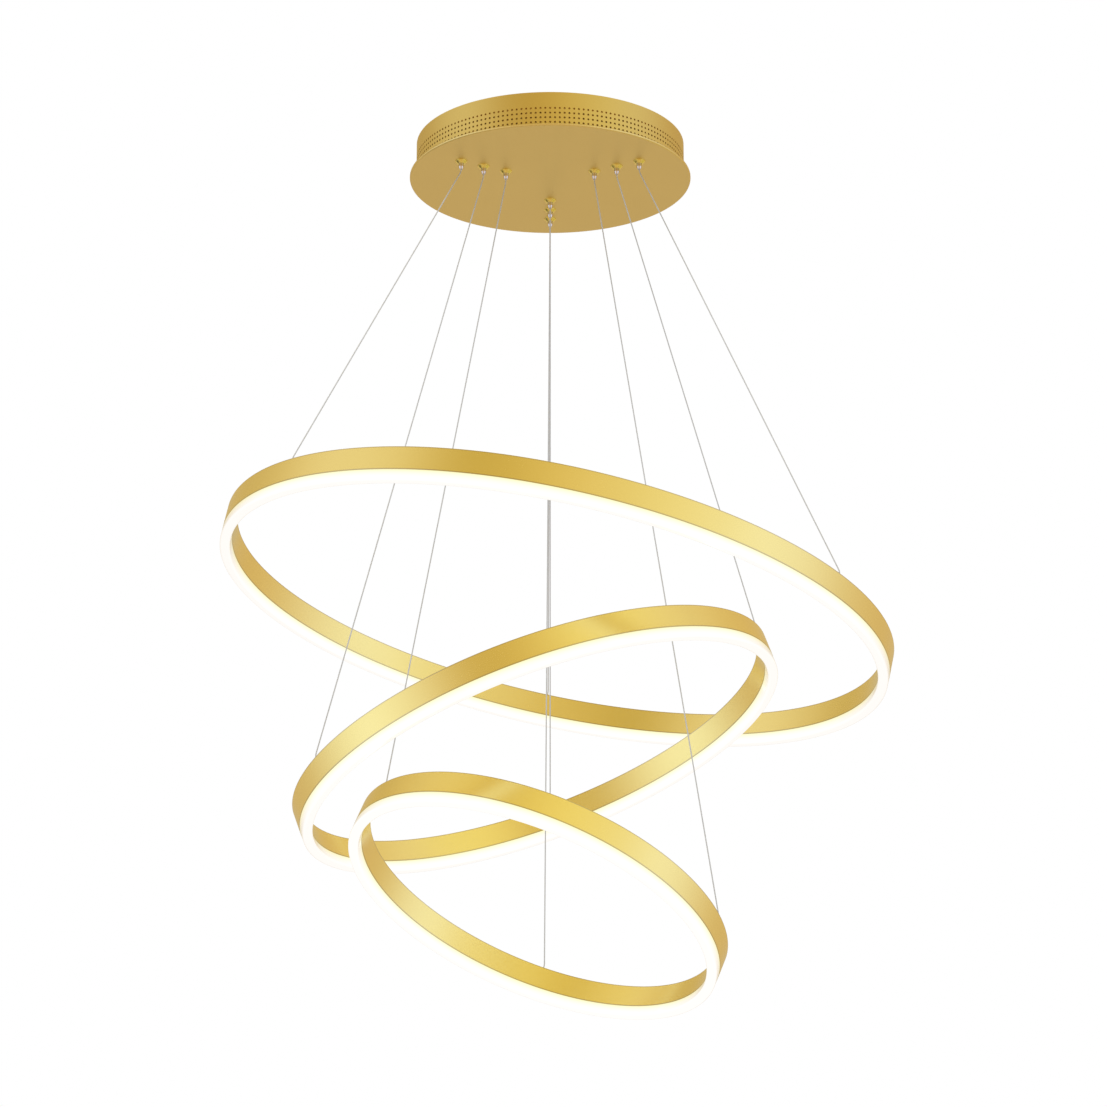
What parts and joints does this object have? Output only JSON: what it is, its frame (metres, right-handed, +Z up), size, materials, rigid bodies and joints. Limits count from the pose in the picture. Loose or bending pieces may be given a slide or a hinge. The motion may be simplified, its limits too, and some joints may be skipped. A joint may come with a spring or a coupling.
{
  "type": "led ring chandelier",
  "caption": "Hanging light of tilted gold rings with opal lit undersides, each on thin wires from grippers in a round perforated canopy.",
  "frame": {"origin": "centre of the canopy on the ceiling, midway between the bracket's two slots", "axes": "+Z up out of the ceiling face, +X along the ceiling bracket, +Y away from the picture's viewer"},
  "size_m": [0.69, 0.7, 0.9195],
  "materials": {
    "gold_paint": "satin champagne gold, fine even sheen",
    "gold_aluminium": "satin champagne gold over aluminium, fine even sheen",
    "gold_fittings": "polished gold plated fittings",
    "opal": "opal silicone, soft matt, lit from inside",
    "chrome": "bright chrome plate",
    "steel_wire": "fine stranded steel wire",
    "zinc_steel": "zinc plated sheet steel",
    "brass": "plain brass screw",
    "aluminium": "mill finish aluminium",
    "driver_plastic": "moulded white housing",
    "terminal_plastic": "moulded natural terminal block",
    "led_board": "white flexible board with yellow LED dots"
  },
  "bodies": {
    "canopy": {"ceiling_bracket": "zinc_steel", "earth_screw": "brass", "side_screws": "gold_paint", "canopy_drum": "gold_paint", "canopy_plate": "gold_aluminium", "canopy_clips": "zinc_steel", "terminal_block": "terminal_plastic", "wire_grippers": "gold_fittings", "led_driver_1": "driver_plastic", "led_driver_2": "driver_plastic", "led_driver_3": "driver_plastic"},
    "ring_1_wires": {"ring_1_wire_left": "steel_wire", "ring_1_wire_right": "steel_wire", "ring_1_wire_back": "steel_wire"},
    "ring_1": {"ring_1_channel": "gold_aluminium", "ring_1_diffuser": "opal", "ring_1_led_strip": "led_board", "ring_1_joiner": "aluminium", "ring_1_anchors": "gold_fittings"},
    "ring_1_release_left": {"ring_1_release_left": "chrome"},
    "ring_1_release_right": {"ring_1_release_right": "chrome"},
    "ring_1_release_back": {"ring_1_release_back": "chrome"},
    "ring_2_wires": {"ring_2_wire_left": "steel_wire", "ring_2_wire_right": "steel_wire", "ring_2_wire_back": "steel_wire"},
    "ring_2": {"ring_2_channel": "gold_aluminium", "ring_2_diffuser": "opal", "ring_2_led_strip": "led_board", "ring_2_joiner": "aluminium", "ring_2_anchors": "gold_fittings"},
    "ring_2_release_left": {"ring_2_release_left": "chrome"},
    "ring_2_release_right": {"ring_2_release_right": "chrome"},
    "ring_2_release_back": {"ring_2_release_back": "chrome"},
    "ring_3_wires": {"ring_3_wire_left": "steel_wire", "ring_3_wire_right": "steel_wire", "ring_3_wire_back": "steel_wire"},
    "ring_3": {"ring_3_channel": "gold_aluminium", "ring_3_diffuser": "opal", "ring_3_led_strip": "led_board", "ring_3_joiner": "aluminium", "ring_3_anchors": "gold_fittings"},
    "ring_3_release_left": {"ring_3_release_left": "chrome"},
    "ring_3_release_right": {"ring_3_release_right": "chrome"},
    "ring_3_release_back": {"ring_3_release_back": "chrome"}
  },
  "joints": [
    {"name": "ring_1_lift", "type": "slide", "parent": "canopy", "child": "ring_1_wires", "axis": [0, 0, 1], "range_m": [-0.25, 0.1], "deforming": ["ring_1_wire_left", "ring_1_wire_right", "ring_1_wire_back"]},
    {"name": "ring_1_tilt", "type": "hinge", "parent": "ring_1_wires", "child": "ring_1", "pos_m": [0.006, 0, -0.507], "axis": [0, 0.9976, -0.0698], "range_deg": [-17, 5]},
    {"name": "ring_1_release_left_press", "type": "slide", "parent": "canopy", "child": "ring_1_release_left", "axis": [0, 0, 1], "range_m": [0, 0.0025], "stiffness_N_per_m": 400},
    {"name": "ring_1_release_right_press", "type": "slide", "parent": "canopy", "child": "ring_1_release_right", "axis": [0, 0, 1], "range_m": [0, 0.0025], "stiffness_N_per_m": 400},
    {"name": "ring_1_release_back_press", "type": "slide", "parent": "canopy", "child": "ring_1_release_back", "axis": [0, 0, 1], "range_m": [0, 0.0025], "stiffness_N_per_m": 400},
    {"name": "ring_2_lift", "type": "slide", "parent": "canopy", "child": "ring_2_wires", "axis": [0, 0, 1], "range_m": [-0.25, 0.1], "deforming": ["ring_2_wire_left", "ring_2_wire_right", "ring_2_wire_back"]},
    {"name": "ring_2_tilt", "type": "hinge", "parent": "ring_2_wires", "child": "ring_2", "pos_m": [-0.015, 0, -0.653], "axis": [0, 0.9925, -0.1219], "range_deg": [-5, 25]},
    {"name": "ring_2_release_left_press", "type": "slide", "parent": "canopy", "child": "ring_2_release_left", "axis": [0, 0, 1], "range_m": [0, 0.0025], "stiffness_N_per_m": 400},
    {"name": "ring_2_release_right_press", "type": "slide", "parent": "canopy", "child": "ring_2_release_right", "axis": [0, 0, 1], "range_m": [0, 0.0025], "stiffness_N_per_m": 400},
    {"name": "ring_2_release_back_press", "type": "slide", "parent": "canopy", "child": "ring_2_release_back", "axis": [0, 0, 1], "range_m": [0, 0.0025], "stiffness_N_per_m": 400},
    {"name": "ring_3_lift", "type": "slide", "parent": "canopy", "child": "ring_3_wires", "axis": [0, 0, 1], "range_m": [-0.25, 0.1], "deforming": ["ring_3_wire_left", "ring_3_wire_right", "ring_3_wire_back"]},
    {"name": "ring_3_tilt", "type": "hinge", "parent": "ring_3_wires", "child": "ring_3", "pos_m": [-0.012, 0, -0.813], "axis": [0, 0.9632, -0.2689], "range_deg": [-26, 5]},
    {"name": "ring_3_release_left_press", "type": "slide", "parent": "canopy", "child": "ring_3_release_left", "axis": [0, 0, 1], "range_m": [0, 0.0025], "stiffness_N_per_m": 400},
    {"name": "ring_3_release_right_press", "type": "slide", "parent": "canopy", "child": "ring_3_release_right", "axis": [0, 0, 1], "range_m": [0, 0.0025], "stiffness_N_per_m": 400},
    {"name": "ring_3_release_back_press", "type": "slide", "parent": "canopy", "child": "ring_3_release_back", "axis": [0, 0, 1], "range_m": [0, 0.0025], "stiffness_N_per_m": 400}
  ]
}
